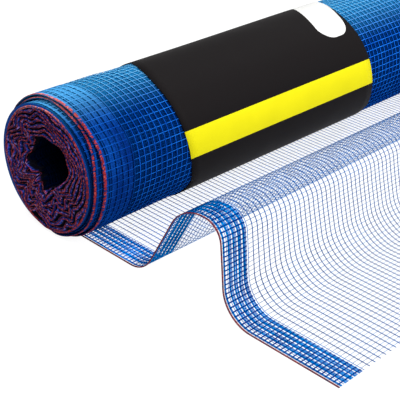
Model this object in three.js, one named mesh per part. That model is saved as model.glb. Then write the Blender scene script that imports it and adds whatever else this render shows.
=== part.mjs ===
// A coreless roll of blue debris netting, 2.62 m wide, with its outer end pulled out over the floor
// and a wrap label round the roll.
// Millimetres. +X runs along the roll, +Y to its back, +Z up. The origin is on the floor, under the
// middle of the whole object.
import * as THREE from "three";

const NET_WIDTH = 2620; // from selvedge to selvedge
const GAP = 0.35; // between the label and the turns under it

// The roll. Its turns are pushed out at the left end like a telescope, the inner ones furthest.
const ROLL_RADIUS = 64.3;
const ROLL_AXIS_HEIGHT = 63.2; // less than the radius, so that the roll rests on a flat strip
const SECOND_TURNS_RADIUS = 61.4;
const BUNDLE_RADIUS = 58.3;
const BUNDLE_LEFT = -1320;
const SECOND_TURNS_LEFT = -1313;
const OUTER_TURNS_LEFT = -1308;
const SELVEDGE_WIDTH = 34;
const FACE_RELIEF = 2.2; // height of the ridges that the wound turns form on the roll's ends
const FACE_RIDGE_PITCH = 11.5;
const MOUTH_DEPTH = 5; // the turns round the hollow lie a little deeper
const MOUTH_RADIUS = 28;
const HOLLOW_RADIUS = 24;
const FACE_RADII = [36, 42, 48, 54, BUNDLE_RADIUS];
const RING_STEPS = 72;
const OUTSIDE_SPANS = 8; // from the label's right edge to the roll's right end
const HOLLOW_SPANS = 4;

// The loose end, from under the roll to its cut.
const SHEET_THICKNESS = 1.2;
const SHEET_LEFT = -1300;
const SHEET_START = 18.3; // in front of the roll's axis, where the sheet fits under the roll
const SHEET_STEPS = 16;
const ARC_STEP = 10; // degrees
const RISE_ANGLE = 62;
const OVERHANG_ANGLE = 5;
const DROP_ANGLE = 84;
const FOOT_RADIUS = 31;
const WAVE = [
  { part: "flat by the roll", length: 70, turn: 0, pieces: 3 },
  { part: "rise", radius: 27, turn: RISE_ANGLE },
  { part: "back slope", length: 54, turn: 0, pieces: 2 },
  { part: "crest, back", radius: 39, turn: -(RISE_ANGLE + OVERHANG_ANGLE) },
  { part: "crest, front", radius: 18, turn: -(DROP_ANGLE - OVERHANG_ANGLE) },
  { part: "drop", toFoot: true, turn: 0, pieces: 2 },
  { part: "foot", radius: FOOT_RADIUS, turn: DROP_ANGLE },
  { part: "flat to the cut", length: 88, turn: 0, pieces: 4 },
];

// The wrap label, open underneath, where the roll rests.
const LABEL_LEFT = -1212;
const LABEL_RIGHT = -942;
const LABEL_THICKNESS = 1;
const LABEL_BACK_END = -65; // degrees from +Y, over the top, to the front end
const LABEL_FRONT_END = 245;

const netBlue = new THREE.MeshStandardMaterial({ color: 0x0a4fa8, roughness: 0.6, metalness: 0 });
const labelBlack = new THREE.MeshStandardMaterial({ color: 0x221f20, roughness: 0.45, metalness: 0 });

// How far the roll's surface stands out of its circle: a little oval, and slack in slow waves along
// its length. It fades to nothing underneath, where the roll is pressed flat.
function slack(x, angle) {
  const top = (1 + Math.sin(angle)) / 2;
  const oval = 0.7 * Math.cos(2 * angle + 0.6);
  const waves = 0.6 * Math.cos(3 * angle + x / 520) + 0.4 * Math.cos(angle - x / 310);
  return top * (oval + waves);
}

// The hollow's radius at an angle: wide at the back, with a fold that bulges in at the front.
function hollowRadius(x, angle) {
  const drift = x / 2400;
  const wide = 7.6 * Math.cos(angle - 0.47);
  const oval = 2.7 * Math.cos(2 * angle + 1.6 + drift);
  const fold = 2.2 * Math.cos(3 * angle + drift);
  return HOLLOW_RADIUS + wide + oval + fold;
}

// The ridges of the wound turns on an end of the roll.
function faceRidge(radius, angle) {
  const wander = 1.3 * Math.sin(2 * angle + 0.4) + 0.8 * Math.sin(5 * angle);
  return FACE_RELIEF * Math.sin((2 * Math.PI * radius) / FACE_RIDGE_PITCH + wander);
}

// The roll's section, from the hollow's left mouth over the left face, the outside and the right
// face back through the hollow. Ridged rows carry the ridges of the wound turns.
function rollSection() {
  const leftFace = BUNDLE_LEFT + FACE_RELIEF;
  const face = FACE_RADII.map((radius) => ({ radius, along: leftFace, ridged: true }));
  const steps = [
    { radius: BUNDLE_RADIUS, along: SECOND_TURNS_LEFT },
    { radius: SECOND_TURNS_RADIUS, along: SECOND_TURNS_LEFT },
    { radius: SECOND_TURNS_RADIUS, along: OUTER_TURNS_LEFT },
    { radius: ROLL_RADIUS, along: OUTER_TURNS_LEFT },
  ];
  const outside = [OUTER_TURNS_LEFT + SELVEDGE_WIDTH, LABEL_LEFT, LABEL_RIGHT].map((along) => ({
    radius: ROLL_RADIUS,
    along,
  }));
  const restLength = OUTER_TURNS_LEFT + NET_WIDTH - LABEL_RIGHT;
  for (let i = 1; i < OUTSIDE_SPANS; i++) {
    outside.push({ radius: ROLL_RADIUS, along: LABEL_RIGHT + (restLength * i) / OUTSIDE_SPANS });
  }
  // The right end is the left one moved along by the net's width, so its inner turns lie deeper.
  const rightEnd = [...face, ...steps].toReversed().map((row) => ({ ...row, along: row.along + NET_WIDTH }));
  const mouth = [
    { radius: MOUTH_RADIUS, along: MOUTH_DEPTH / 2 },
    { radius: HOLLOW_RADIUS, along: MOUTH_DEPTH },
  ];
  const leftMouth = mouth.toReversed().map((row) => ({ ...row, along: leftFace + row.along }));
  const rightMouth = mouth.map((row) => ({ ...row, along: leftFace + NET_WIDTH - row.along }));
  const hollow = [];
  for (let i = HOLLOW_SPANS - 1; i > 0; i--) {
    hollow.push({ radius: HOLLOW_RADIUS, along: leftFace + (NET_WIDTH * i) / HOLLOW_SPANS });
  }
  const section = [...leftMouth, ...face, ...steps, ...outside, ...rightEnd, ...rightMouth, ...hollow];
  return [...section, section[0]];
}

// Where a row of the section really is at an angle: its distance from the axis and its place along.
function wound({ radius, along, ridged }, angle) {
  const slackHere = slack(along, angle) * (radius / ROLL_RADIUS) ** 2;
  const x = ridged ? along + faceRidge(radius, angle) : along;
  if (radius >= BUNDLE_RADIUS) {
    return { x, distance: radius + slackHere };
  }
  const mouth = hollowRadius(along, angle) + Math.min(radius, MOUTH_RADIUS) - HOLLOW_RADIUS;
  const outward = Math.max(radius - MOUTH_RADIUS, 0) / (BUNDLE_RADIUS - MOUTH_RADIUS);
  return { x, distance: mouth + (BUNDLE_RADIUS + slackHere - mouth) * outward };
}

function nettingRoll() {
  const section = rollSection();
  const outline = section.map(({ radius, along }) => new THREE.Vector2(radius, along));
  const geometry = new THREE.LatheGeometry(outline, RING_STEPS);
  const places = geometry.attributes.position;
  for (let i = 0; i < places.count; i++) {
    const step = Math.floor(i / section.length) % RING_STEPS;
    const angle = (2 * Math.PI * step) / RING_STEPS;
    const { x, distance } = wound(section[i % section.length], angle);
    const height = ROLL_AXIS_HEIGHT + distance * Math.sin(angle);
    places.setXYZ(i, x, distance * Math.cos(angle), Math.max(height, 0));
  }
  const mesh = new THREE.Mesh(geometry, netBlue);
  mesh.name = "netting_roll";
  return mesh;
}

// The middle line of the loose end, seen from its left edge, as forward and height pairs with the
// direction at each, in radians above the floor.
function waveLine() {
  const line = [{ forward: 0, height: SHEET_THICKNESS / 2, slope: 0 }];
  for (const section of WAVE) {
    const from = line.at(-1);
    const turn = THREE.MathUtils.degToRad(section.turn);
    if (turn === 0) {
      const footHeight = FOOT_RADIUS * (1 - Math.cos(from.slope)) + SHEET_THICKNESS / 2;
      const length = section.toFoot ? (from.height - footHeight) / -Math.sin(from.slope) : section.length;
      for (let i = 1; i <= section.pieces; i++) {
        const run = (length * i) / section.pieces;
        line.push({
          forward: from.forward + run * Math.cos(from.slope),
          height: from.height + run * Math.sin(from.slope),
          slope: from.slope,
        });
      }
      continue;
    }
    const steps = Math.ceil(Math.abs(section.turn) / ARC_STEP);
    const bend = section.radius * Math.sign(turn);
    for (let i = 1; i <= steps; i++) {
      const slope = from.slope + (turn * i) / steps;
      line.push({
        forward: from.forward + bend * (Math.sin(slope) - Math.sin(from.slope)),
        height: from.height + bend * (Math.cos(from.slope) - Math.cos(slope)),
        slope,
      });
    }
  }
  return line;
}

// The wave is a little higher in some stretches of its length than in others, and its crest leans
// forward or back. The flat stretches stay flat on the floor.
function unevenSheet(x, forward, height) {
  const crest = height / 80;
  const tall = 1 + 0.03 * Math.sin(x / 330 + 4.2);
  const lean = (5 * Math.sin(x / 410 + 3.6) - 3) * crest * crest;
  return { forward: forward + lean, height: Math.max(height * tall, 0) };
}

function looseEnd() {
  const line = waveLine();
  const side = (offset) =>
    line.map(({ forward, height, slope }) => {
      const up = height + offset * Math.cos(slope);
      return new THREE.Vector2(forward - offset * Math.sin(slope), up);
    });
  const half = SHEET_THICKNESS / 2;
  const outline = new THREE.Shape([...side(-half), ...side(half).toReversed()]);
  const geometry = new THREE.ExtrudeGeometry(outline, {
    depth: NET_WIDTH,
    steps: SHEET_STEPS,
    bevelEnabled: false,
  });
  const places = geometry.attributes.position;
  for (let i = 0; i < places.count; i++) {
    const x = SHEET_LEFT + NET_WIDTH - places.getZ(i);
    const { forward, height } = unevenSheet(x, places.getX(i), places.getY(i));
    places.setXYZ(i, x, -SHEET_START - forward, height);
  }
  const mesh = new THREE.Mesh(geometry, netBlue);
  mesh.name = "loose_end";
  return mesh;
}

function labelBand() {
  const inner = ROLL_RADIUS + GAP;
  const outer = inner + LABEL_THICKNESS;
  const step = 360 / RING_STEPS;
  const arc = (radius) => {
    const points = [];
    for (let degrees = LABEL_BACK_END; degrees <= LABEL_FRONT_END; degrees += step) {
      const angle = THREE.MathUtils.degToRad(degrees);
      points.push(new THREE.Vector2(radius * Math.cos(angle), radius * Math.sin(angle)));
    }
    return points;
  };
  const outline = new THREE.Shape([...arc(outer), ...arc(inner).toReversed()]);
  const geometry = new THREE.ExtrudeGeometry(outline, {
    depth: LABEL_RIGHT - LABEL_LEFT,
    bevelEnabled: false,
  });
  const places = geometry.attributes.position;
  for (let i = 0; i < places.count; i++) {
    const x = LABEL_LEFT + places.getZ(i);
    const angle = Math.atan2(places.getY(i), places.getX(i));
    const radius = Math.hypot(places.getX(i), places.getY(i)) + slack(x, angle);
    places.setXYZ(i, x, radius * Math.cos(angle), ROLL_AXIS_HEIGHT + radius * Math.sin(angle));
  }
  const mesh = new THREE.Mesh(geometry, labelBlack);
  mesh.name = "label_band";
  return mesh;
}

const nettingPackage = new THREE.Group();
nettingPackage.add(nettingRoll(), looseEnd(), labelBand());

// The roll's axis is at y = 0 up to here. The whole object is moved so that its box is centred.
const middle = new THREE.Box3().setFromObject(nettingPackage).getCenter(new THREE.Vector3());
nettingPackage.position.set(-middle.x, -middle.y, 0);

export default nettingPackage;
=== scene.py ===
import math

import bpy
import numpy as np
from mathutils import Matrix


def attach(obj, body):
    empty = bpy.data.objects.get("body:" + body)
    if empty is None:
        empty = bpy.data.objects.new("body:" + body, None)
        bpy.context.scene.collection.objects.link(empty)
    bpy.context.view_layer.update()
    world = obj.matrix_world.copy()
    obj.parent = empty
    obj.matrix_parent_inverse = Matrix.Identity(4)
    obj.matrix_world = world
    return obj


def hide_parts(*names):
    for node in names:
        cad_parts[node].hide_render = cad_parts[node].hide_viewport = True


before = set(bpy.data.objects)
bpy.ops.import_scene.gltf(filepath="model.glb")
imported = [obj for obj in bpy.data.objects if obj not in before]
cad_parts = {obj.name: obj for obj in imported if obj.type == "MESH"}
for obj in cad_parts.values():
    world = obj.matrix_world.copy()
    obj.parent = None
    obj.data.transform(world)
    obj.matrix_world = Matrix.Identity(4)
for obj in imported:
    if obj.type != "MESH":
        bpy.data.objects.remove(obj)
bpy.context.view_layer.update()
bpy.ops.object.select_all(action="DESELECT")


# The view: from the front left, a little over the roll's end, with a long lens.
# The left end of the roll is nearest, and the rest runs out of the picture on the right.
view_place = (-1.8263, -0.5405, 0.4973)
view_azimuth = math.radians(-46.57)
view_elevation = math.radians(28.98)
view_roll = math.radians(2.29)

back = np.array([
    math.sin(view_azimuth) * math.cos(view_elevation),
    -math.cos(view_azimuth) * math.cos(view_elevation),
    math.sin(view_elevation),
])
level = np.array([math.cos(view_azimuth), math.sin(view_azimuth), 0.0])
upright = np.cross(back, level)
right = math.cos(view_roll) * level + math.sin(view_roll) * upright
up = math.cos(view_roll) * upright - math.sin(view_roll) * level


def placed(rightward, upward, backward, place):
    """The matrix of a camera or a lamp at a place, from its own three directions."""
    return Matrix([*zip(rightward, upward, backward, place), (0, 0, 0, 1)])


camera = bpy.data.objects.new("camera", bpy.data.cameras.new("camera"))
bpy.context.scene.collection.objects.link(camera)
camera.data.sensor_width = 36.0
camera.data.lens = 96.86
camera.data.clip_start = 0.02
camera.data.clip_end = 60.0
camera.matrix_world = placed(right, up, back, view_place)
bpy.context.scene.camera = camera
bpy.context.scene.view_settings.view_transform = "Standard"


# The floor and the light: a plain pale floor, lit from below like a light table, under a white sky
# with a wide soft lamp above and a lower one in front. So it stays white up to the foot of the roll.
floor_tone, floor_glow = 0.12, 0.9
sky_glow = 0.7
white = (1, 1, 1, 1)

bpy.ops.mesh.primitive_plane_add(size=24, location=(0, 0, 0))
floor = bpy.context.object
floor.name = "floor"
floor_material = bpy.data.materials.new("lit floor")
floor_material.use_nodes = True
floor_shader = floor_material.node_tree.nodes["Principled BSDF"]
floor_shader.inputs["Base Color"].default_value = (floor_tone, floor_tone, floor_tone, 1)
floor_shader.inputs["Roughness"].default_value = 0.95
floor_shader.inputs["Emission Color"].default_value = white
floor_shader.inputs["Emission Strength"].default_value = floor_glow
floor.data.materials.append(floor_material)
bpy.ops.object.select_all(action="DESELECT")

world = bpy.data.worlds.new("white sky")
world.use_nodes = True
sky = world.node_tree.nodes["Background"]
sky.inputs["Color"].default_value = white
sky.inputs["Strength"].default_value = sky_glow
bpy.context.scene.world = world


def soft_lamp(name, place, aim, sizes, watts):
    """A rectangular lamp that shines at a point."""
    lamp = bpy.data.objects.new(name, bpy.data.lights.new(name, "AREA"))
    bpy.context.scene.collection.objects.link(lamp)
    lamp.data.shape = "RECTANGLE"
    lamp.data.size, lamp.data.size_y = sizes
    lamp.data.energy = watts
    away = np.array(place, float) - np.array(aim, float)
    away /= np.linalg.norm(away)
    across = np.cross((0, 0, 1), away)
    across /= np.linalg.norm(across)
    lamp.matrix_world = placed(across, np.cross(away, across), away, place)


soft_lamp("top lamp", (-0.7, 0.1, 2.4), (-0.7, 0.09, 0.0), sizes=(4.2, 2.2), watts=80)
soft_lamp("front lamp", (-0.9, -2.4, 1.8), (-0.7, 0.1, 0.0), sizes=(3.8, 1.6), watts=115)


# The netting is knitted from flat blue plastic yarn: thick warp lines that run round the roll and
# out along the loose end, and thin cross lines. This is the loose end, which comes out from under
# the roll, lies flat, rises in one wave and lies flat again up to its cut. Its mesh is drawn close.
MM = 0.001
net_width = 2620.0
roll_mesh = 6.35
loose_mesh, loose_cross = 5.65, 4.05
roll_radius = 64.3
roll_round = 2 * math.pi * roll_radius
roll_axis_y, roll_axis_z = 124.4456, 63.2

wave_left = -1301.3
wave_start = 18.3
cloth_middle = 0.6
foot_radius = 31.0
crest_height = 80.0
most_pulled = 17.0

# The section of the loose end: flat stretches by their length, and bends by radius and degrees. The
# drop is a straight stretch, just long enough for the bend at its foot to end on the floor.
wave_sections = [
    ("flat", 70.0, 0.0),
    ("bend", 27.0, 62.0),
    ("flat", 54.0, 0.0),
    ("bend", 39.0, -67.0),
    ("bend", 18.0, -79.0),
    ("drop", 0.0, 0.0),
    ("bend", foot_radius, 84.0),
    ("flat", 88.0, 0.0),
]


def wave_pieces():
    """Each stretch of the wave: where it starts along the cloth, its place, slope, length and bend."""
    pieces = []
    run, forward, height, slope = 0.0, 0.0, cloth_middle, 0.0
    for kind, size, turn in wave_sections:
        if kind == "bend":
            radius = size * math.copysign(1, turn)
            length = size * math.radians(abs(turn))
            pieces.append((run, forward, height, slope, length, radius))
            after = slope + math.radians(turn)
            forward += radius * (math.sin(after) - math.sin(slope))
            height += radius * (math.cos(slope) - math.cos(after))
            slope = after
        else:
            length = size
            if kind == "drop":
                foot = foot_radius * (1 - math.cos(slope)) + cloth_middle
                length = (height - foot) / -math.sin(slope)
            pieces.append((run, forward, height, slope, length, 0.0))
            forward += length * math.cos(slope)
            height += length * math.sin(slope)
        run += length
    return pieces, run


wave, loose_length = wave_pieces()


def smooth(value):
    """0 up to 0, 1 from 1 on, and a smooth rise between them."""
    value = np.clip(value, 0, 1)
    return value * value * (3 - 2 * value)


def loose_surface(across, along):
    """Points of the loose end, for places in mm across the net from its left edge and along it. The
    crest leans and stands unevenly, and past it the net beside its left selvedge is pulled aside."""
    across, along = np.broadcast_arrays(np.asarray(across, float), np.asarray(along, float))
    forward, height = np.zeros(along.shape), np.zeros(along.shape)
    for n, (run, start, level_at, slope, length, radius) in enumerate(wave):
        here = along >= run if n else np.full(along.shape, True)
        step = along - run
        if radius:
            after = slope + step / radius
            ahead = start + radius * (np.sin(after) - math.sin(slope))
            rise = level_at + radius * (math.cos(slope) - np.cos(after))
        else:
            ahead = start + step * math.cos(slope)
            rise = level_at + step * math.sin(slope)
        forward = np.where(here, ahead, forward)
        height = np.where(here, rise, height)
    x = wave_left + across
    crest = height / crest_height
    lean = (5 * np.sin(x / 410 + 3.6) - 3) * crest * crest
    tall = 0.99 + 0.03 * np.sin(x / 330 + 4.2)
    y = roll_axis_y - wave_start - forward - lean
    inside_selvedge = 1 - np.exp(-np.maximum(across - 30, 0) / 60)
    near_left = 1 - smooth((across - 1200) / 1400)
    past_crest = smooth((along - 200) / 105)
    x = x + most_pulled * inside_selvedge * near_left * past_crest
    return np.stack([x, y, height * tall], axis=-1)


def off_surface(surface, across, along):
    """The way straight off the cloth's upper side at these places."""
    step = 0.5
    over = surface(across + step, along) - surface(across - step, along)
    ahead = surface(across, along + step) - surface(across, along - step)
    normal = np.cross(ahead, over)
    normal /= np.linalg.norm(normal, axis=-1, keepdims=True)
    return normal


def tubes(paths, off, half_wide, half_tall, sides, closed=False):
    """Vertices, faces and UVs of closed tubes along paths (tube, point, xyz), in mm. A tube's section
    is half_wide along the cloth and half_tall off it. UVs run round the tube and along it in mm."""
    count, points = paths.shape[:2]
    if closed:
        ahead = np.roll(paths, -1, 1) - np.roll(paths, 1, 1)
    else:
        ahead = np.gradient(paths, axis=1)
    ahead /= np.linalg.norm(ahead, axis=-1, keepdims=True)
    side = np.cross(ahead, off)
    side /= np.linalg.norm(side, axis=-1, keepdims=True)
    rise = np.cross(side, ahead)
    first = 0.25 if sides == 3 else 0.0
    turn = 2 * math.pi * (np.arange(sides) + first) / sides
    stretch = 1.0
    if sides == 4:
        turn = turn + math.pi / 4
        stretch = math.sqrt(2)
    ring = paths[:, :, None]
    ring = ring + half_wide * stretch * np.cos(turn)[:, None] * side[:, :, None]
    ring = ring + half_tall * stretch * np.sin(turn)[:, None] * rise[:, :, None]

    number = np.arange(count * points * sides).reshape(count, points, sides)
    here = number if closed else number[:, :-1]
    after = np.roll(number, -1, 1) if closed else number[:, 1:]
    faces = np.stack([here, after, np.roll(after, -1, 2), np.roll(here, -1, 2)], axis=-1)
    faces = faces.reshape(-1, 4).tolist()
    if not closed:
        faces += number[:, 0].tolist()
        faces += number[:, -1, ::-1].tolist()
    length = np.linalg.norm(np.diff(paths, axis=1), axis=-1)
    run = np.concatenate([np.zeros((count, 1)), np.cumsum(length, axis=1)], axis=1)
    around = (np.arange(sides) / sides)[None, None, :]
    uv = np.stack(np.broadcast_arrays(around, run[:, :, None]), axis=-1)
    return ring.reshape(-1, 3), faces, uv.reshape(-1, 2)


def laid(surface, across, along, lift, half_wide, half_tall, sides=3, closed=False):
    """Tubes that lie along these places on the cloth, lifted a little off it."""
    off = off_surface(surface, across, along)
    return tubes(surface(across, along) + lift * off, off, half_wide, half_tall, sides, closed)


def cloth_object(name, parts, materials, soft=True):
    """One mesh object from several (vertices, faces, uvs, material number) parts, in mm. The uvs are
    those of the vertices, or of the faces' corners. soft shades its tubes round and not flat."""
    points, faces, corners, slots = [], [], [], []
    start = 0
    for vertices, its_faces, uv, slot in parts:
        points.append(vertices)
        corners.append(uv[np.concatenate(its_faces)] if len(uv) == len(vertices) else uv)
        faces += [[start + i for i in face] for face in its_faces]
        slots += list(np.broadcast_to(slot, len(its_faces)))
        start += len(vertices)
    mesh = bpy.data.meshes.new(name)
    mesh.from_pydata(np.concatenate(points) * MM, [], faces)
    mesh.polygons.foreach_set("material_index", np.array(slots, np.int32))
    mesh.polygons.foreach_set("use_smooth", [soft] * len(faces))
    layer = mesh.uv_layers.new(name="UVMap")
    layer.data.foreach_set("uv", np.concatenate(corners).astype(np.float32).ravel())
    for material in materials:
        mesh.materials.append(material)
    mesh.update()
    piece = bpy.data.objects.new(name, mesh)
    bpy.context.scene.collection.objects.link(piece)
    return piece


def add_node(tree, kind, settings=(), **inputs):
    """A shader node with its settings and inputs. An input is known by its name, or by i and its
    number, and may be a value or another node's output."""
    made = tree.nodes.new(kind)
    for key, value in dict(settings).items():
        setattr(made, key, value)
    for key, value in inputs.items():
        numbered = key[0] == "i" and key[1:].isdigit()
        socket = made.inputs[int(key[1:])] if numbered else made.inputs[key]
        if isinstance(value, bpy.types.NodeSocket):
            tree.links.new(value, socket)
        else:
            socket.default_value = value
    return made


def new_material(name, roughness, gloss):
    """A new material, its nodes, its shader and a node that gives places on the piece."""
    material = bpy.data.materials.new(name)
    material.use_nodes = True
    tree = material.node_tree
    shader = tree.nodes["Principled BSDF"]
    shader.inputs["Roughness"].default_value = roughness
    shader.inputs["Specular IOR Level"].default_value = gloss
    return material, tree, shader, add_node(tree, "ShaderNodeTexCoord")


def coat(tree, shader, colour, height, strength, depth):
    """Gives a shader its colour, and a bump of a depth in metres."""
    tree.links.new(colour, shader.inputs["Base Color"])
    bump = add_node(tree, "ShaderNodeBump", Strength=strength, Distance=depth, Height=height)
    tree.links.new(bump.outputs[0], shader.inputs["Normal"])


def calc(tree, operation, *values):
    numbered = {f"i{n}": value for n, value in enumerate(values)}
    return add_node(tree, "ShaderNodeMath", {"operation": operation}, **numbered).outputs[0]


def apart(tree, vector):
    """The X, Y and Z of a vector."""
    return add_node(tree, "ShaderNodeSeparateXYZ", Vector=vector).outputs


def noise_of(tree, vector, scale, detail):
    return add_node(tree, "ShaderNodeTexNoise", Vector=vector, Scale=scale, Detail=detail).outputs


def share_of(tree, value, low, high):
    """How far a value is on the way from low to high, smoothly from 0 to 1."""
    ends = {"From Min": low, "From Max": high}
    settings = {"interpolation_type": "SMOOTHSTEP"}
    return add_node(tree, "ShaderNodeMapRange", settings, Value=value, **ends).outputs[0]


def blend_of(tree, factor, low, high):
    """A colour between two others, each a plain colour or another node's output."""
    mix = add_node(tree, "ShaderNodeMix", {"data_type": "RGBA"}, Factor=factor)
    for socket, colour in ((6, low), (7, high)):
        if isinstance(colour, bpy.types.NodeSocket):
            tree.links.new(colour, mix.inputs[socket])
        else:
            mix.inputs[socket].default_value = (*colour, 1)
    return mix.outputs[2]


def steps_of(tree, factor, starts, colours):
    """One of several colours: each is taken from its own start on."""
    node = add_node(tree, "ShaderNodeValToRGB", Fac=factor)
    ramp = node.color_ramp
    ramp.interpolation = "CONSTANT"
    for n, (start, colour) in enumerate(zip(starts, colours)):
        step = ramp.elements[n] if n < 2 else ramp.elements.new(start)
        step.position = start
        step.color = (*colour, 1)
    return node.outputs[0]


def stitches(tree, across, along):
    """A number from 0 to 1, another for each stitch of about one unit across and along."""
    where = add_node(tree, "ShaderNodeCombineXYZ", X=across, Y=along).outputs[0]
    flat = {"voronoi_dimensions": "2D"}
    cells = add_node(tree, "ShaderNodeTexVoronoi", flat, Vector=where, Scale=1.0)
    return apart(tree, cells.outputs["Color"])["X"]


def angle_round_roll(tree, place):
    """The angle round the roll's axis, from the back over the top."""
    spot = apart(tree, place.outputs["Object"])
    over = calc(tree, "SUBTRACT", spot["Z"], roll_axis_z * MM)
    behind = calc(tree, "SUBTRACT", spot["Y"], roll_axis_y * MM)
    return calc(tree, "ARCTAN2", over, behind)


# Where the painted highlight lies on the roll: its middle angle and half width, and how much wider it
# grows right of the label, between these places along the roll in metres.
highlight_middle, highlight_half, highlight_growth = math.radians(75), math.radians(58), math.radians(14)
growth_start, growth_end = -1.15, -0.95


def painted_highlight_share(tree, place):
    """1 along the top of the roll, where a paler tone is painted on the turns as a highlight, and 0 from
    its front and back downwards. The painted highlight is wider right of the label."""
    off_top = calc(tree, "SUBTRACT", angle_round_roll(tree, place), highlight_middle)
    off_top = calc(tree, "PINGPONG", calc(tree, "ABSOLUTE", off_top), math.pi)
    grown = share_of(tree, apart(tree, place.outputs["Object"])["X"], growth_start, growth_end)
    off_top = calc(tree, "SUBTRACT", off_top, calc(tree, "MULTIPLY", grown, highlight_growth))
    return share_of(tree, off_top, highlight_half, 0.0)


def painted_brightening(tree, place, colour, axis, start, end, gain):
    """A colour with painted light: it grows brighter between two places along an axis, and stays so past
    the second.
    """
    along = apart(tree, place.outputs["Object"])[axis]
    scale = calc(tree, "MULTIPLY_ADD", share_of(tree, along, start, end), gain, 1.0)
    scaled = add_node(tree, "ShaderNodeVectorMath", {"operation": "SCALE"}, i0=colour, Scale=scale)
    return scaled.outputs[0]


def yarn_material(name, dark, light, top=None):
    """Smooth plastic yarn: its tone varies from place to place, and along it runs a row of stitches that
    catch the light. top is the paler tone of the roll's upper side, a painted highlight. On the roll the
    yarn is painted brighter right of the label, and on the loose end where that lies flat beside the
    roll, in the roll's shade; both are painted light."""
    material, tree, shader, place = new_material(name, 0.5, 0.0)
    cloud = noise_of(tree, place.outputs["Object"], 45.0, 3.0)[0]
    fine = noise_of(tree, place.outputs["Object"], 700.0, 1.0)[0]
    both = calc(tree, "MULTIPLY_ADD", fine, 0.8, cloud)
    colour = blend_of(tree, share_of(tree, both, 0.7, 1.1), dark, light)
    if top:
        # Painted light: brighter towards the right of the roll.
        colour = painted_brightening(tree, place, colour, "X", start=-1.2, end=-0.95, gain=0.4)
        # Painted highlight: the paler top tone on the roll's upper side.
        colour = blend_of(tree, painted_highlight_share(tree, place), colour, top)
    else:
        # Painted light: brighter where the loose end lies flat beside the roll, in the roll's shade.
        colour = painted_brightening(tree, place, colour, "Y", start=0.02, end=0.05, gain=1.2)
    stitch = 2.1
    run = apart(tree, place.outputs["UV"])["Y"]
    bead = calc(tree, "SINE", calc(tree, "MULTIPLY", run, 2 * math.pi / stitch))
    coat(tree, shader, colour, bead, strength=0.35, depth=0.0002)
    return material


# The yarns of the loose end. Each is painted brighter where it lies flat beside the roll, as painted
# light over the roll's shade.
loose_yarn = yarn_material("blue yarn", (0.0, 0.045, 0.2), (0.0, 0.08, 0.3))
cross_yarn = yarn_material("thin blue yarn", (0.13, 0.25, 0.48), (0.2, 0.34, 0.6))
close_yarn = yarn_material("close blue yarn", (0.0, 0.055, 0.22), (0.0, 0.12, 0.38))
rung_yarn = yarn_material("stout blue yarn", (0.0, 0.014, 0.11), (0.0, 0.035, 0.18))


def thread_material(name, colours, painted_highlight_colours=None):
    """The marker thread: red and blue yarns twisted together, speckled where they show in turn. Where
    top colours are given, paler speckles are painted on the roll's upper side as a highlight.
    """
    material, tree, shader, place = new_material(name, 0.7, 0.05)
    specks_around, speck_length = 5.0, 1.2
    spot = apart(tree, place.outputs["UV"])
    around = calc(tree, "MULTIPLY", spot["X"], specks_around)
    speck = stitches(tree, around, calc(tree, "DIVIDE", spot["Y"], speck_length))
    starts = (0.0, 0.28, 0.62, 0.86)
    colour = steps_of(tree, speck, starts, colours)
    # Painted highlight: paler speckles over the roll's upper side.
    if painted_highlight_colours:
        painted_highlight_colour = steps_of(tree, speck, starts, painted_highlight_colours)
        colour = blend_of(tree, painted_highlight_share(tree, place), colour, painted_highlight_colour)
    coat(tree, shader, colour, speck, strength=0.5, depth=0.0003)
    return material


loose_thread = thread_material(
    "marker thread",
    ((0.03, 0.012, 0.04), (0.09, 0.012, 0.018), (0.15, 0.02, 0.025), (0.2, 0.04, 0.04)),
)


def wander(across, along, size, seed):
    """How far a yarn strays from its place, in mm: slow waves that close round the roll."""
    rng = np.random.default_rng(seed)
    total = np.zeros(np.broadcast(across, along).shape)
    for _ in range(5):
        turns = rng.integers(1, 6)
        reach = rng.uniform(60, 260)
        phase = rng.uniform(0, 2 * math.pi)
        slant = rng.choice([-1, 1])
        total = total + np.sin(2 * math.pi * turns * along / roll_round + across / reach * slant + phase)
    return size * total / 2.2


# Where the open mesh starts, in mm from the edge of the loose end's net.
first_warp = 36.4
selvedge_width = 30.8


def warps(surface, mesh, along, seed, half_wide, closed=False):
    """The warp lines: flat yarns, one for each mesh, that run along the cloth."""
    first = first_warp * mesh / loose_mesh
    across, along = np.meshgrid(np.arange(first, net_width - first + 1, mesh), along, indexing="ij")
    across = across + wander(across, along, 0.2, seed)
    return laid(surface, across, along, 0.1, half_wide, 0.2, closed=closed)


def cross_lines(surface, mesh, along_places, step, seed, half_wide):
    """The thin cross lines, straight across the cloth from one selvedge to the other."""
    first = selvedge_width * mesh / loose_mesh
    across = np.linspace(first, net_width - first, int(net_width / step))
    along, across = np.meshgrid(along_places, across, indexing="ij")
    along = along + wander(across, along, 0.3, seed)
    return laid(surface, across, along, -0.15, half_wide, 0.11)


def wave_steps(flat_step, bend_step):
    """Places along the loose end, closer together on its bends."""
    places = [0.0]
    for run, _, _, _, length, radius in wave:
        count = math.ceil(length / (bend_step if radius else flat_step))
        places += list(run + length * np.arange(1, count + 1) / count)
    return np.array(places)


# Beyond the crest, where the net is seen face on, its cross lines look stouter.
crest_along = 185
cross_places = np.arange(loose_length - 2.6, 0, -loose_cross)[::-1]
before_crest = cross_places[cross_places < crest_along]
after_crest = cross_places[cross_places >= crest_along]
loose_netting = cloth_object("loose_netting", [
    (*warps(loose_surface, loose_mesh, wave_steps(12.0, 6.0), seed=11, half_wide=0.6), 0),
    (*cross_lines(loose_surface, loose_mesh, before_crest, step=42, seed=12, half_wide=0.16), 1),
    (*cross_lines(loose_surface, loose_mesh, after_crest, step=42, seed=13, half_wide=0.31), 1),
], [loose_yarn, cross_yarn])


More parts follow.
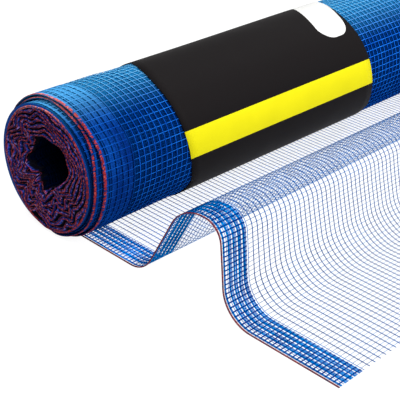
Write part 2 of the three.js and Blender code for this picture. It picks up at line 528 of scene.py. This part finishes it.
# Along each edge of the loose end runs a selvedge knitted close: four flat strips with fine yarns
# beside them, open slots between, stout rungs across, and a red marker thread outermost.
strip_count = 4
strip_start, strip_pitch = 8.2, 5.6
strip_half, fine_half = 0.95, 0.36
slot_start, slot_width = 9.9, 2.5
rung_start, rung_end, rung_slant = 2.2, 29.5, 0.015


def selvedge_strips(mesh):
    """Places from the net's edge and half widths of the strips and fine yarns along a selvedge."""
    size = mesh / loose_mesh
    strips = [(3.6, strip_half), (6.7, 0.4)]
    for n in range(strip_count):
        start = strip_start + strip_pitch * n
        strips += [(start + strip_half, strip_half)]
        strips += [(start + beside, fine_half) for beside in (2.35, 3.1, 3.85)]
    strips += [(selvedge_width, 0.45)]
    return [(place * size, half * size) for place, half in strips]


def selvedge(surface, mesh, along, rung_places, seed, mirrored=False, closed=False, until=99.0):
    """A selvedge's strips, fine yarns and rungs. mirrored puts it on the net's right edge, and until
    ends it there, in mm from the edge."""
    size = mesh / loose_mesh
    parts = []

    def place(inward):
        return net_width - inward if mirrored else inward

    for n, (inward, half_wide) in enumerate(selvedge_strips(mesh)):
        if inward > until:
            continue
        across, run = np.meshgrid([place(inward)], along, indexing="ij")
        across = across + wander(across, run, 0.14, seed + n)
        half_tall, sides = (0.14, 4) if half_wide > 0.6 else (0.22, 3)
        parts.append((*laid(surface, across, run, 0.05, half_wide, half_tall, sides, closed), 0))

    inward = np.linspace(rung_start, min(until, rung_end * size), 9)
    if mirrored:
        inward = inward[::-1]
    run, across = np.meshgrid(rung_places, place(inward), indexing="ij")
    run = run + (wander(across, run, 0.3, seed + 40) + rung_slant * place(across))
    parts.append((*laid(surface, across, run, 0.3, 0.45 if closed else 0.75, 0.2), 1))

    middles = (rung_places[:-1] + rung_places[1:]) / 2
    for n in range(strip_count):
        inner = (slot_start + strip_pitch * n) * size
        if inner > until:
            continue
        band = np.array([inner, inner + slot_width * size])
        run, across = np.meshgrid(middles, place(band), indexing="ij")
        parts.append((*laid(surface, across, run, 0.0, 0.2, 0.15), 0))
    return parts


def edge_thread(surface, along, inward, half_wide, half_tall, mirrored=False, closed=False):
    """The red marker thread along one edge."""
    across, run = np.meshgrid([net_width - inward if mirrored else inward], along, indexing="ij")
    return laid(surface, across, run, 0.0, half_wide, half_tall, 6, closed)


fine_steps = wave_steps(6.0, 3.0)
loose_selvedges = cloth_object(
    "loose_selvedges",
    selvedge(loose_surface, loose_mesh, fine_steps, cross_places, seed=100)
    + selvedge(loose_surface, loose_mesh, fine_steps, cross_places, seed=200, mirrored=True),
    [close_yarn, rung_yarn],
    soft=False,
)
loose_edge_threads = cloth_object("loose_edge_threads", [
    (*edge_thread(loose_surface, fine_steps, 1.0, 0.95, 0.5), 0),
    (*edge_thread(loose_surface, fine_steps, 1.0, 0.95, 0.5, mirrored=True), 0),
], [loose_thread])

for piece in (loose_netting, loose_selvedges, loose_edge_threads):
    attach(piece, "root")
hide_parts("loose_end")


# The roll: some 150 turns of the same net, wound without a core and pressed flat underneath. Its
# inner turns stand out at the left end, where their crumpled edges show round an open hollow.
bundle_radius = 58.3
left_face, right_face = -1318.2, 1300.6
left_seed, right_seed = 5, 8
face_turns = 7.0
hollow_mean = 24.0
off_floor, thread_off_floor = 0.05, 0.6


def slack(x, angle):
    """How far the turns lie out from the true round, in mm: more over the top, least at the label."""
    top = (1 + np.sin(angle)) / 2
    oval = 0.7 * np.cos(2 * angle + 0.6)
    waves = 0.6 * np.cos(3 * angle + x / 520) + 0.4 * np.cos(angle - x / 310)
    swell = 0.9 + 1.2 * smooth((-1217 - x) / 25) + 1.0 * smooth((x + 1150) / 200)
    return top * (oval + waves + swell)


def at_radius(x, angle, radius, lowest=0.0):
    """Points at a radius from the roll's axis, and none below lowest."""
    z = np.maximum(roll_axis_z + radius * np.sin(angle), lowest)
    return np.stack(np.broadcast_arrays(x, roll_axis_y + radius * np.cos(angle), z), axis=-1)


def round_roll(x, angle, radius, lowest):
    """Points at a radius from the roll's axis, with the slack of the outer turns."""
    return at_radius(x, angle, radius + slack(x, angle) * (radius / roll_radius) ** 2, lowest)


def ring_part(blocks):
    """One closed surface from blocks of rows of points round the axis (row, step, xyz). Each block has
    its UVs, those of the row after it, what they gain in one turn, and its material number."""
    rows = np.concatenate([block[0] for block in blocks])
    count, steps = rows.shape[:2]
    number = np.arange(count * steps).reshape(count, steps)
    after = np.roll(number, -1, 0)
    faces = np.stack([number, np.roll(number, -1, 1), np.roll(after, -1, 1), after], axis=-1)
    corners, slots = [], []
    for points, uv, next_uv, gain, slot in blocks:
        upper = np.concatenate([uv[1:], next_uv[None]])
        beside = np.concatenate([uv[:, 1:], uv[:, :1] + np.array(gain)], axis=1)
        upper_beside = np.concatenate([upper[:, 1:], upper[:, :1] + np.array(gain)], axis=1)
        corners.append(np.stack([uv, beside, upper_beside, upper], axis=2).reshape(-1, 2))
        slots.append(np.full(len(points) * steps, slot))
    faces = faces.reshape(-1, 4).tolist()
    return rows.reshape(-1, 3), faces, np.concatenate(corners), np.concatenate(slots)


def hollow_radius(x, angle):
    drift = x / 2400
    wide = 7.6 * np.cos(angle - 0.47)
    oval = 2.7 * np.cos(2 * angle + 1.6 + drift)
    fold = 2.2 * np.cos(3 * angle + drift)
    return hollow_mean + wide + oval + fold


# The hollow's outline at the left end, where folds of the turns push into it: degrees from the back
# of the roll, over its top, and mm from the axis.
mouth_outline = [
    (-14, 17.0), (-30, 12.5), (-50, 13.5), (-60, 20.0), (-66, 27.0), (-75, 22.0), (-90, 17.0),
    (-112, 15.5), (-135, 15.5), (-160, 18.0), (-180, 22.0), (-190, 27.0), (-199, 31.0), (-225, 32.0),
    (-260, 29.6), (-300, 29.5), (-320, 26.5), (-335, 24.0), (-347, 26.0), (-360, 29.5), (-367, 27.0),
]


def mouth_radius(x_face, angle):
    """The hollow's radius at an end of the roll. The outline at the left end is rounded off."""
    if x_face > 0:
        crumple = 1.6 * np.sin(5 * angle + 0.7) + 1.4 * np.sin(8 * angle + 2.0)
        return hollow_radius(x_face, angle) + crumple
    degrees, radii = zip(*mouth_outline)
    fine = np.arange(720) / 2
    around = np.interp(fine, np.array(degrees[::-1]) % 360, radii[::-1], period=360)
    reach, spread = 24, 7.0
    kernel = np.exp(-0.5 * (np.arange(-reach, reach + 1) / spread) ** 2)
    wrapped = np.concatenate([around[-reach:], around, around[:reach]])
    around = np.convolve(wrapped, kernel / kernel.sum(), "valid")
    return np.interp(np.degrees(angle) % 360, fine, around, period=360)


def rim_radius(x, angle):
    """The bundle's outer radius: its left end has sagged a little to the back."""
    sag_depth, sag_reach = 4.6, 12
    sag = sag_depth * np.cos(angle + 0.35) * np.clip(1 - (x - left_face) / sag_reach, 0, 1) ** 2
    return bundle_radius + slack(x, angle) * 0.82 - 0.6 * (x > 0) + sag


def end_radius(x_face, share, angle):
    """A radius on an end of the roll: share is 0 at the hollow and 1 at the bundle's rim."""
    mouth = mouth_radius(x_face, angle)
    return mouth + (rim_radius(x_face, angle) - mouth) * share


def band_share(x_face, angle):
    """Where the red edge of the bundle's outermost turn lies on an end: 1 is the rim. At the back of
    the left end the turn has rolled over and shows its blue side outside that edge."""
    return 0.985 - 0.115 * (x_face < 0) * np.maximum(np.cos(angle - 0.1), 0) ** 0.7


def face_phase(share, angle, seed):
    """The number of a turn on an end of the roll, from the hollow outwards. share is 0 at the hollow
    and 1 at the rim. The folds are deepest half way out, at the back and underneath."""
    rng = np.random.default_rng(seed)
    phases = rng.uniform(0, 2 * math.pi, 9)
    deep = np.clip(np.sin(math.pi * np.clip(share * 0.9 + 0.08, 0, 1)), 0, 1) ** 0.8
    slow = 0.45 * np.sin(2 * angle + phases[0]) + 0.4 * np.sin(4 * angle + phases[1] + 1.5 * share)
    folded = 0.2 + 0.8 * (0.5 + 0.5 * np.cos(angle + 0.6)) ** 1.2
    bent = 0.9 * np.sin(4 * angle + phases[2])
    folds = 1.15 * folded * np.sin(10 * angle + phases[4] + 3.0 * share + bent)
    small = 0.28 * folded * np.sin(19 * angle + phases[5] - 5.0 * share)
    return face_turns * share + angle / (2 * math.pi) + deep * (slow + folds + small)


def face_height(x_face, share, angle, seed):
    """Height in mm of a wound end over its middle plane, and how near the crest of a turn a point is."""
    phase = face_phase(share, angle, seed)
    crest = 0.5 + 0.5 * np.cos(2 * math.pi * phase)
    folded = 0.5 + 0.5 * np.cos(angle + 0.5)
    rng = np.random.default_rng(seed + 1)
    a, b, c = rng.uniform(0, 2 * math.pi, 3)
    uneven = 0.9 * np.sin(3 * angle + 6 * share + a) + 0.7 * np.sin(7 * angle - 9 * share + b)
    fray = 0.25 * np.sin(61 * angle + 31 * share + c)
    mouth = 5.0 * (1 - np.clip(share / 0.12, 0, 1)) ** 2
    depth = 3.0 + 3.0 * folded
    height = depth * (crest ** 0.7 - 0.72) + uneven + fray * crest - mouth
    return height * smooth((band_share(x_face, angle) - share) / 0.12), crest


angles = np.linspace(0, 2 * math.pi, 300, endpoint=False)


def face_rows(x_face, outward, shares, seed):
    """Rows of points of a wound end and their UVs: how near a crest a point is, and its turn's number.
    The turn that is rolled over at the rim has 2 for the first."""
    share, angle = np.meshgrid(shares, angles, indexing="ij")
    height, crest = face_height(x_face, share, angle, seed)
    past_band = share - band_share(x_face, angle)
    height = height - 0.3 * smooth(past_band / 0.02) - 15 * np.maximum(share - 0.97, 0)
    crest = np.where(past_band > 0, 2.0, crest * smooth(share / 0.05))
    radius = end_radius(x_face, share, angle)
    rows = at_radius(x_face + outward * height, angle, radius, off_floor)
    return rows, np.stack([crest, face_phase(share, angle, seed)], axis=-1)


def net_uv(x, angle, cells):
    """UVs counted in meshes, with a whole number of them round the roll."""
    return np.stack(np.broadcast_arrays(x / roll_mesh, angle * cells / (2 * math.pi)), axis=-1)


left_rows, left_uv = face_rows(left_face, -1, np.linspace(0, 1, 97), left_seed)
right_rows, right_uv = face_rows(right_face, 1, np.linspace(1, 0, 73), right_seed)

near_rim = left_face + np.array([1.5, 3.0, 5.0, 7.5])
along_roll = np.linspace(-1300, right_face - 2.0, 26)
outside_x, outside_angle = np.meshgrid(np.concatenate([near_rim, along_roll]), angles, indexing="ij")
outside = at_radius(outside_x, outside_angle, rim_radius(outside_x, outside_angle) - 0.1, off_floor)

inside_x = np.linspace(right_face - 9.0, left_face + 9.0, 40)
hollow_x, hollow_angle = np.meshgrid(inside_x, angles, indexing="ij")
near = np.clip(1 - (hollow_x - left_face) / 60, 0, 1) ** 2
hollow_wall = (1 - near) * hollow_radius(hollow_x, hollow_angle)
hollow_wall = hollow_wall + near * mouth_radius(left_face, hollow_angle)
hollow = at_radius(hollow_x, hollow_angle, hollow_wall)


def stacked_net_material(name, tone, painted_top_tone):
    """Many layers of the net over each other: the lines of each lie a little off those above. The lines
    of the lower layers are painted darker, and the cells between them almost black, as painted shade
    deep in the stack; on the roll's upper side all is painted paler as a highlight."""
    material, tree, shader, place = new_material(name, 0.7, 0.0)
    noise = noise_of(tree, place.outputs["UV"], 0.13, 2.0)["Color"]
    subtract = {"operation": "SUBTRACT"}
    shift = add_node(tree, "ShaderNodeVectorMath", subtract, i0=noise, i1=(0.5, 0.5, 0.5))
    # Painted highlight: the share of the roll's upper side, where the net is painted paler.
    top = painted_highlight_share(tree, place)

    def toned(colour, painted_highlight_colour):
        low = [tone * c for c in colour]
        high = [painted_top_tone * c for c in painted_highlight_colour]
        return blend_of(tree, top, low, high)

    # Each layer: how far it lies to the left and up in meshes, how much it strays, half a line's width,
    # and the lines' colours at the side and on top, where they are painted paler as a highlight. The
    # first is the lowest, and the lower layers' lines are painted darker as shade.
    layers = [
        ((0.43, 0.17), 1.6, 0.15, (0.0, 0.012, 0.075), (0.0, 0.09, 0.22)),
        ((0.19, 0.71), 1.1, 0.15, (0.0, 0.017, 0.1), (0.01, 0.12, 0.28)),
        ((0.68, 0.44), 0.8, 0.13, (0.0, 0.024, 0.13), (0.02, 0.15, 0.33)),
    ]
    # Painted shade: the cells are nearly black, and paler on top as a painted highlight.
    colour = toned((0.0, 0.005, 0.04), (0.0, 0.04, 0.13))
    height = 0.0
    for (left_by, up_by), stray, half, line, painted_top_line in layers:
        scaled = {"i0": shift.outputs[0], "i1": (stray, stray, 0), "i2": place.outputs["UV"]}
        moved = add_node(tree, "ShaderNodeVectorMath", {"operation": "MULTIPLY_ADD"}, **scaled)
        spot = apart(tree, moved.outputs[0])
        lines = []
        for axis, by, thin in (("X", left_by, 1.0), ("Y", up_by, 0.6)):
            off_line = calc(tree, "PINGPONG", calc(tree, "ADD", spot[axis], by), 0.5)
            lines.append(share_of(tree, off_line, half * thin, half * thin * 0.45))
        either = calc(tree, "MAXIMUM", *lines)
        colour = blend_of(tree, either, colour, toned(line, painted_top_line))
        height = calc(tree, "MULTIPLY_ADD", height, 0.5, either)
    coat(tree, shader, colour, height, strength=0.8, depth=0.0008)
    return material


def wound_end_material():
    """The wound end: the frayed edges of the turns, each stitch blue or red, with pale violet stitches
    as painted highlights, and painted almost black as shade in the gaps between the turns."""
    material, tree, shader, place = new_material("wound edges", 0.75, 0.05)
    stitches_each_turn, stitches_round = 8.0, 34.0
    spot = apart(tree, place.outputs["UV"])
    across = calc(tree, "MULTIPLY", spot["Y"], stitches_each_turn)
    along = calc(tree, "MULTIPLY", angle_round_roll(tree, place), stitches_round)
    speck = stitches(tree, across, along)
    # The last step of each is pale violet, a painted highlight on the stitches.
    blues = steps_of(tree, speck, (0.0, 0.3, 0.65, 0.88), (
        (0.001, 0.002, 0.03), (0.005, 0.016, 0.14), (0.018, 0.045, 0.3), (0.17, 0.11, 0.32)))
    reds = steps_of(tree, speck, (0.0, 0.25, 0.6, 0.88), (
        (0.03, 0.006, 0.03), (0.18, 0.012, 0.025), (0.36, 0.03, 0.045), (0.32, 0.17, 0.34)))
    layer = calc(tree, "PINGPONG", calc(tree, "MULTIPLY", spot["Y"], 2.0), 0.5)
    colour = blend_of(tree, share_of(tree, layer, 0.2, 0.1), blues, reds)
    # Painted shade: the gaps between the turns, away from their crests, are almost black.
    colour = blend_of(tree, share_of(tree, spot["X"], 0.35, 0.85), (0.001, 0.001, 0.004), colour)
    rolled_over = calc(tree, "GREATER_THAN", spot["X"], 1.4)
    colour = blend_of(tree, rolled_over, colour, (0.0, 0.03, 0.17))
    coat(tree, shader, colour, speck, strength=0.8, depth=0.0006)
    return material


# The stacked net is painted paler on the roll's upper side as a highlight.
stacked_net = stacked_net_material("stacked net", tone=0.75, painted_top_tone=1.2)
# Painted shade: the net in the hollow is painted far darker, darkest over the top, as the shade inside
# the hollow.
shaded_hollow_net = stacked_net_material("net in the hollow in painted shade", tone=0.2, painted_top_tone=0.03)
wound_edges = wound_end_material()

bundle_cells, hollow_cells = 58, 24
wound_turns = cloth_object("wound_turns", [ring_part([
    (left_rows[:-1], left_uv[:-1], left_uv[-1], (0, 1), 1),
    (outside, net_uv(outside_x, outside_angle, bundle_cells),
     net_uv(right_face, angles, bundle_cells), (0, bundle_cells), 0),
    (right_rows[:-1], right_uv[:-1], right_uv[-1], (0, 1), 1),
    (hollow, net_uv(hollow_x, hollow_angle, hollow_cells),
     net_uv(left_face, angles, hollow_cells), (0, hollow_cells), 2),
])], [stacked_net, wound_edges, shaded_hollow_net])


# Over them lie the outer turns. They were drawn a little to the right while the roll was wound,
# so their edges stand back from the inner ones at the left end and stand out at the right.
second_left, outer_left, straight_left = -1311.0, -1310.3, -1309.5
sleeve_cells, inner_rows, edge_round = 64, 12, 0.5


def second_edge(angle):
    """The left edge of the second turn, drawn out most at the front."""
    degrees = np.degrees(angle) % 360
    down = smooth((degrees - 125) / 45) * (1 - smooth((degrees - 250) / 60))
    return second_left - 6.8 * down + 0.8 * np.sin(5 * angle + 1.0)


def outer_edge(angle):
    """The left edge of the outermost turn, drawn back a little at the front."""
    front = np.exp(-((np.degrees(angle) % 360 - 147) / 14) ** 2)
    return outer_left + 2.4 * front + 0.4 * np.sin(7 * angle)


def sleeve(edge, outer, inner, outer_rows):
    """A few turns as one closed sleeve from their left edge to their right edge."""
    start = edge(angles)[None, :]
    flat_width = net_width - 2 * edge_round
    x_out = start + edge_round + flat_width * np.linspace(0, 1, outer_rows)[:, None]
    x_in = start + edge_round + flat_width * np.linspace(1, 0, inner_rows)[:, None]
    middle = (outer + inner) / 2
    x = np.concatenate([x_out, start + net_width, x_in, start])
    radii = [np.full(outer_rows, outer), [middle], np.full(inner_rows, inner), [middle]]
    rows = round_roll(x, angles[None, :], np.concatenate(radii)[:, None], off_floor)
    uv = net_uv(x, angles[None, :], sleeve_cells)
    return ring_part([(rows, uv, uv[0], (0, sleeve_cells), 0)])


outer_turns = cloth_object("outer_turns", [
    sleeve(second_edge, outer=60.8, inner=60.2, outer_rows=60),
    sleeve(outer_edge, outer=63.6, inner=63.0, outer_rows=90),
], [stacked_net])


def turn_surface(edge, radius):
    """A turn of the net round the roll, as a function of mm across from its left edge and along it."""
    def surface(across, along):
        across, along = np.broadcast_arrays(np.asarray(across, float), np.asarray(along, float))
        angle = along / roll_radius - math.pi / 2
        near_edge = np.clip(1 - across / 300, 0, 1)
        x = across + near_edge * edge(angle) + (1 - near_edge) * straight_left
        return round_roll(x, angle, radius, 0.4)
    return surface


# The yarns on the roll: each with its dark and light tone, and the paler tone painted on the roll's
# upper side as a highlight.
roll_yarn = yarn_material(
    "blue yarn on the roll", (0.002, 0.042, 0.31), (0.004, 0.085, 0.47), (0.12, 0.48, 0.82))
roll_cross_yarn = yarn_material(
    "thin yarn on the roll", (0.004, 0.08, 0.42), (0.01, 0.14, 0.58), (0.2, 0.56, 0.88))
edge_yarn = yarn_material(
    "close yarn on the roll", (0.001, 0.015, 0.11), (0.002, 0.034, 0.19), (0.05, 0.26, 0.52))
edge_rungs = yarn_material(
    "stout yarn on the roll", (0.001, 0.025, 0.18), (0.003, 0.055, 0.28), (0.09, 0.36, 0.68))

outer_net = turn_surface(outer_edge, roll_radius - 0.25)
second_net = turn_surface(second_edge, 61.2)
inner_net = turn_surface(lambda angle: -1319.0 + 0.0 * angle, bundle_radius + 0.25)
rings = np.linspace(0, roll_round, 64, endpoint=False)
fine_rings = np.linspace(0, roll_round, 128, endpoint=False)

roll_netting = cloth_object("roll_netting", [
    (*warps(outer_net, roll_mesh, rings, seed=21, half_wide=0.52, closed=True), 0),
    (*cross_lines(outer_net, roll_mesh, rings, step=40, seed=22, half_wide=0.42), 1),
], [roll_yarn, roll_cross_yarn])
roll_selvedges = cloth_object(
    "roll_selvedges",
    selvedge(outer_net, roll_mesh, fine_rings, rings, seed=300, closed=True)
    + selvedge(outer_net, roll_mesh, fine_rings, rings, seed=400, mirrored=True, closed=True)
    + selvedge(second_net, roll_mesh, fine_rings, rings + 2.0, seed=500, closed=True, until=12.0)
    + selvedge(inner_net, roll_mesh, fine_rings, rings + 4.0, seed=600, closed=True, until=16.0),
    [edge_yarn, edge_rungs],
    soft=False,
)


def end_thread(x, angle, radius, outward, half_wide, half_tall, sides, closed=False):
    """A thread along a line on an end of the roll."""
    path = at_radius(x, angle, radius, thread_off_floor)[None]
    off = np.zeros_like(path)
    off[..., 0] = outward
    return tubes(path, off, half_wide, half_tall, sides, closed)


def rim_thread(x_face, outward, seed):
    """The marker thread along the bundle's outermost edge, on an end of the roll."""
    angle = np.linspace(0, 2 * math.pi, 240, endpoint=False)
    share = band_share(x_face, angle) - 0.01
    height, _ = face_height(x_face, share, angle, seed)
    x = x_face + outward * np.maximum(height, 0.0)
    return end_thread(x, angle, end_radius(x_face, share, angle), outward, 1.0, 0.6, 6, True)


def crest_thread(x_face, outward, below, seed):
    """The marker thread on the wound end: one long spiral that follows the turns inwards. below is how
    far it lies from the crests, in turns. Each pass of the loop brings it nearer to that line."""
    steps_each_turn = 200
    around = np.arange(int((face_turns - 0.5) * steps_each_turn)) * 2 * math.pi / steps_each_turn
    share = (face_turns - below - around / (2 * math.pi)) / face_turns
    for _ in range(80):
        share = share + 0.3 * (face_turns - below - face_phase(share, around, seed)) / face_turns
    share = np.clip(share, 0.03, 0.985)
    height, _ = face_height(x_face, share, around, seed)
    radius = end_radius(x_face, np.minimum(share, band_share(x_face, around) - 0.01), around)
    return end_thread(x_face + outward * (height + 0.2), around, radius, outward, 0.55, 0.5, 5)


roll_thread = thread_material(
    "marker thread on the roll",
    ((0.002, 0.012, 0.08), (0.12, 0.008, 0.014), (0.2, 0.014, 0.018), (0.28, 0.04, 0.04)),
    # Painted highlight: the thread's paler colours on the roll's upper side.
    ((0.06, 0.12, 0.34), (0.4, 0.08, 0.08), (0.52, 0.14, 0.12), (0.6, 0.24, 0.2)),
)
face_thread = thread_material(
    "marker thread on the end",
    ((0.003, 0.008, 0.05), (0.07, 0.008, 0.02), (0.2, 0.015, 0.02), (0.25, 0.06, 0.08)),
)
roll_edge_threads = cloth_object("roll_edge_threads", [
    (*edge_thread(outer_net, fine_rings, 1.8, 1.8, 0.4, closed=True), 0),
    (*edge_thread(outer_net, fine_rings, 1.8, 1.8, 0.4, mirrored=True, closed=True), 0),
    (*edge_thread(second_net, fine_rings, 1.3, 1.4, 0.4, closed=True), 0),
    (*rim_thread(left_face, -1, left_seed), 0),
    (*rim_thread(right_face, 1, right_seed), 0),
    (*crest_thread(left_face, -1, 0.0, left_seed), 1),
    (*crest_thread(left_face, -1, 0.33, left_seed), 1),
    (*crest_thread(right_face, 1, 0.0, right_seed), 1),
], [roll_thread, face_thread])

for piece in (wound_turns, outer_turns, roll_netting, roll_selvedges, roll_edge_threads):
    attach(piece, "root")
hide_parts("netting_roll")
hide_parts("netting_roll")


# The wrap label: a strip of coated paper, printed black with a yellow stripe and a white patch,
# wrapped tight round the roll near its left end and glued to the net underneath. It bows a little.
label_left, label_right = -1212.0, -942.0
label_radius = 65.0
label_back, label_front = -65.0, 245.0
label_strips = 27
paper_thickness = 0.35
stripe_middle, stripe_half = 169.6, 11.75
patch_middle, patch_half, patch_corner = -968.5, 21.2, 17.5
patch_top, patch_foot, patch_slant = 48.0, 129.5, 0.2
bow_middle, bow_least, bow_most = 122, -3.5, 15.0
mm_each_degree = label_radius * math.pi / 180


def label_bow(degrees):
    """How far the label has slipped to the right at an angle, in mm."""
    away = degrees - bow_middle
    return min(bow_least + (0.006 if away < 0 else 0.0024) * away * away, bow_most)


def range_of(tree, value, low, high):
    """A number from low to high for a value from 0 to 1."""
    ends = {"To Min": low, "To Max": high}
    return add_node(tree, "ShaderNodeMapRange", Value=value, **ends).outputs[0]


def printed_paper():
    """Coated paper with its print, faintly uneven in tone and gloss. Its UVs are the place along the
    roll in mm and the angle round it in degrees, from the back of the roll over its top."""
    material, tree, shader, place = new_material("printed paper", 0.6, 0.04)
    spot = apart(tree, place.outputs["UV"])
    stripe = calc(tree, "COMPARE", spot["Y"], stripe_middle, stripe_half)

    above = calc(tree, "MAXIMUM", calc(tree, "SUBTRACT", patch_foot - 12.0, spot["Y"]), 0.0)
    middle = calc(tree, "MULTIPLY_ADD", above, patch_slant, patch_middle)
    from_middle = calc(tree, "ABSOLUTE", calc(tree, "SUBTRACT", spot["X"], middle))
    aside = calc(tree, "MAXIMUM", calc(tree, "SUBTRACT", from_middle, patch_half - patch_corner), 0.0)
    below = calc(tree, "SUBTRACT", spot["Y"], patch_foot - patch_corner / mm_each_degree)
    below = calc(tree, "MAXIMUM", calc(tree, "MULTIPLY", below, mm_each_degree), 0.0)
    corner = add_node(tree, "ShaderNodeCombineXYZ", X=aside, Y=below).outputs[0]
    reach = add_node(tree, "ShaderNodeVectorMath", {"operation": "LENGTH"}, i0=corner)
    patch = calc(tree, "LESS_THAN", reach.outputs["Value"], patch_corner)
    patch = calc(tree, "MULTIPLY", patch, calc(tree, "GREATER_THAN", spot["Y"], patch_top))

    colour = blend_of(tree, stripe, (0.005, 0.004, 0.0043), (0.54, 0.49, 0.004))
    colour = blend_of(tree, patch, colour, (0.5, 0.5, 0.49))
    cloud = noise_of(tree, place.outputs["Object"], 30.0, 4.0)[0]
    multiply = {"data_type": "RGBA", "blend_type": "MULTIPLY"}
    tint = range_of(tree, cloud, 0.9, 1.08)
    shade = add_node(tree, "ShaderNodeMix", multiply, Factor=1.0, i6=colour, i7=tint)
    coat(tree, shader, shade.outputs[2], cloud, strength=0.12, depth=0.0006)
    tree.links.new(range_of(tree, cloud, 0.52, 0.68), shader.inputs["Roughness"])
    return material


def label_angle(point):
    """Degrees from the back of the roll, over its top, to a point of the label."""
    angle = math.degrees(math.atan2(point.z - roll_axis_z * MM, point.y - roll_axis_y * MM))
    return angle + 360 if angle < label_back - 1 else angle


bpy.ops.mesh.primitive_cylinder_add(
    vertices=360,
    radius=label_radius * MM,
    depth=(label_right - label_left) * MM,
    end_fill_type="NOTHING",
    location=((label_left + label_right) / 2 * MM, roll_axis_y * MM, roll_axis_z * MM),
    rotation=(0, math.radians(90), 0),
)
label = bpy.context.object
label.name = "wrap_label"
bpy.ops.object.transform_apply(location=True, rotation=True, scale=True)
bpy.ops.object.mode_set(mode="EDIT")
strip_length = (label_right - label_left) / label_strips
for n in range(1, label_strips):
    bpy.ops.mesh.select_all(action="SELECT")
    bpy.ops.mesh.bisect(plane_co=((label_left + strip_length * n) * MM, 0, 0), plane_no=(1, 0, 0))
bpy.ops.mesh.select_all(action="DESELECT")
bpy.ops.object.mode_set(mode="OBJECT")
for face in label.data.polygons:
    face.select = not label_back < label_angle(face.center) < label_front
    face.use_smooth = True
bpy.ops.object.mode_set(mode="EDIT")
bpy.ops.mesh.select_mode(type="FACE")
bpy.ops.mesh.delete(type="FACE")
bpy.ops.mesh.select_all(action="SELECT")
bpy.ops.mesh.normals_make_consistent(inside=False)
bpy.ops.object.mode_set(mode="OBJECT")

label.data.materials.append(printed_paper())
for loop in label.data.loops:
    point = label.data.vertices[loop.vertex_index].co
    label.data.uv_layers.active.data[loop.index].uv = (point.x / MM, label_angle(point))
for vertex in label.data.vertices:
    degrees = label_angle(vertex.co)
    x = vertex.co.x + label_bow(degrees) * MM
    stretch = 1 + slack(x / MM, math.radians(degrees)) / label_radius
    vertex.co.x = x
    vertex.co.y = roll_axis_y * MM + (vertex.co.y - roll_axis_y * MM) * stretch
    vertex.co.z = max(roll_axis_z * MM + (vertex.co.z - roll_axis_z * MM) * stretch, 0.0)
bpy.context.view_layer.objects.active = label
solid = label.modifiers.new("paper", "SOLIDIFY")
solid.thickness = paper_thickness * MM
solid.offset = 0
bpy.ops.object.modifier_apply(modifier="paper")
bpy.ops.object.select_all(action="DESELECT")

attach(label, "root")
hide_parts("label_band")
